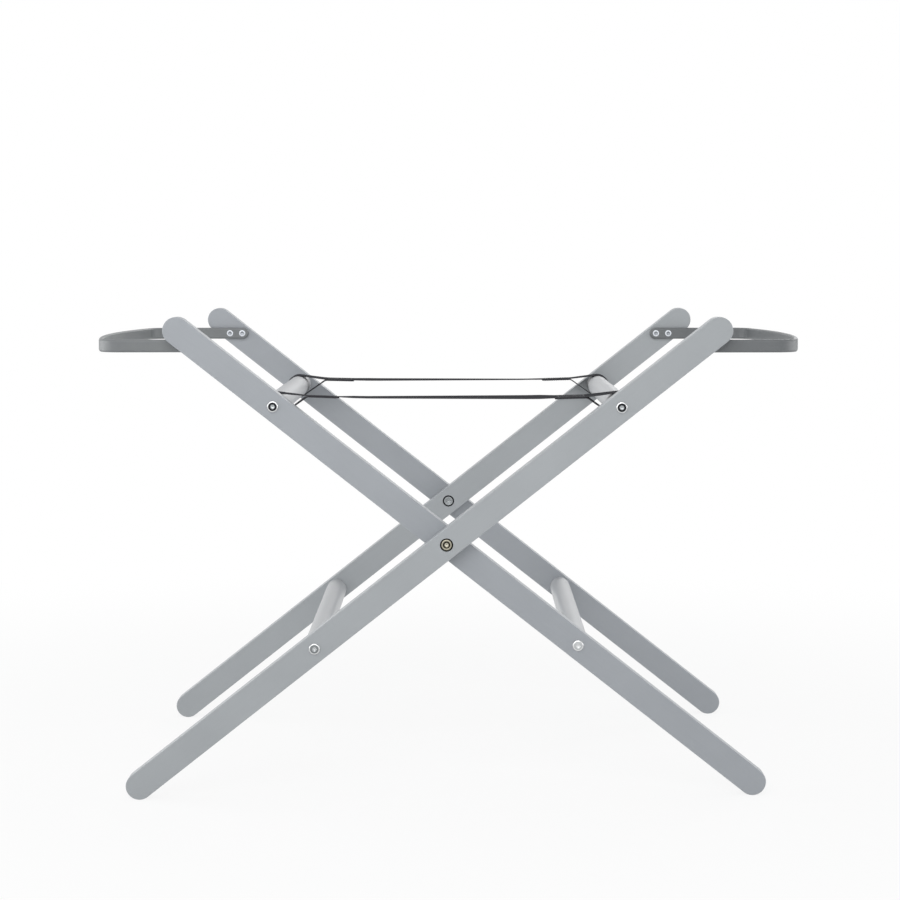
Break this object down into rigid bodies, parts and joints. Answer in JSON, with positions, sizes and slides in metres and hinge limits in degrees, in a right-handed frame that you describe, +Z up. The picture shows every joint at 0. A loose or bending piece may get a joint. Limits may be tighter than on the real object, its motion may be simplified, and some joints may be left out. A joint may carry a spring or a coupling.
{
  "type": "moses basket stand",
  "caption": "Folding scissor stand for a moses basket: crossed flat legs on two pivots, round dowels, U-shaped end rails and webbing straps that stop the spread.",
  "frame": {"origin": "on the floor under the middle of the stand, at the bottom centre of its box", "axes": "+X to the right along the stand's length, from end rail to end rail, +Y to the back, +Z up; the front, where frame A's leg is outermost, faces -Y"},
  "size_m": [0.769, 0.4516, 0.5061],
  "materials": {
    "leg_lacquer": "satin grey lacquer that covers the grain",
    "dowel_lacquer": "satin light grey lacquer",
    "rail_powder_coat": "satin grey powder coat",
    "bright_nickel": "bright nickel plate",
    "warm_nickel": "bronze-tinted nickel plate",
    "zinc_plate": "zinc plate",
    "strap_webbing": "woven webbing"
  },
  "bodies": {
    "frame_a": {"leg_a_front": "leg_lacquer", "leg_a_back": "leg_lacquer", "lower_dowel_a": "dowel_lacquer", "upper_dowel_a": "dowel_lacquer", "end_rail_a": "rail_powder_coat", "dowel_bolts_a": "bright_nickel", "dowel_inserts_a": "zinc_plate", "rail_screws_a": "zinc_plate", "pivot_bolt_front": "warm_nickel", "pivot_bolt_back": "warm_nickel", "pivot_nut_front": "bright_nickel", "pivot_nut_back": "bright_nickel", "pivot_washer_front": "zinc_plate", "pivot_washer_back": "zinc_plate", "strap_front": "strap_webbing", "strap_back": "strap_webbing"},
    "frame_b": {"leg_b_front": "leg_lacquer", "leg_b_back": "leg_lacquer", "lower_dowel_b": "dowel_lacquer", "upper_dowel_b": "dowel_lacquer", "end_rail_b": "rail_powder_coat", "dowel_bolts_b": "bright_nickel", "dowel_inserts_b": "zinc_plate", "rail_screws_b": "zinc_plate"}
  },
  "joints": [
    {"name": "fold", "type": "hinge", "parent": "frame_a", "child": "frame_b", "pos_m": [0, 0, 0.26965], "axis": [0, 1, 0], "range_deg": [0, 94], "deforming": ["strap_front", "strap_back"]}
  ]
}
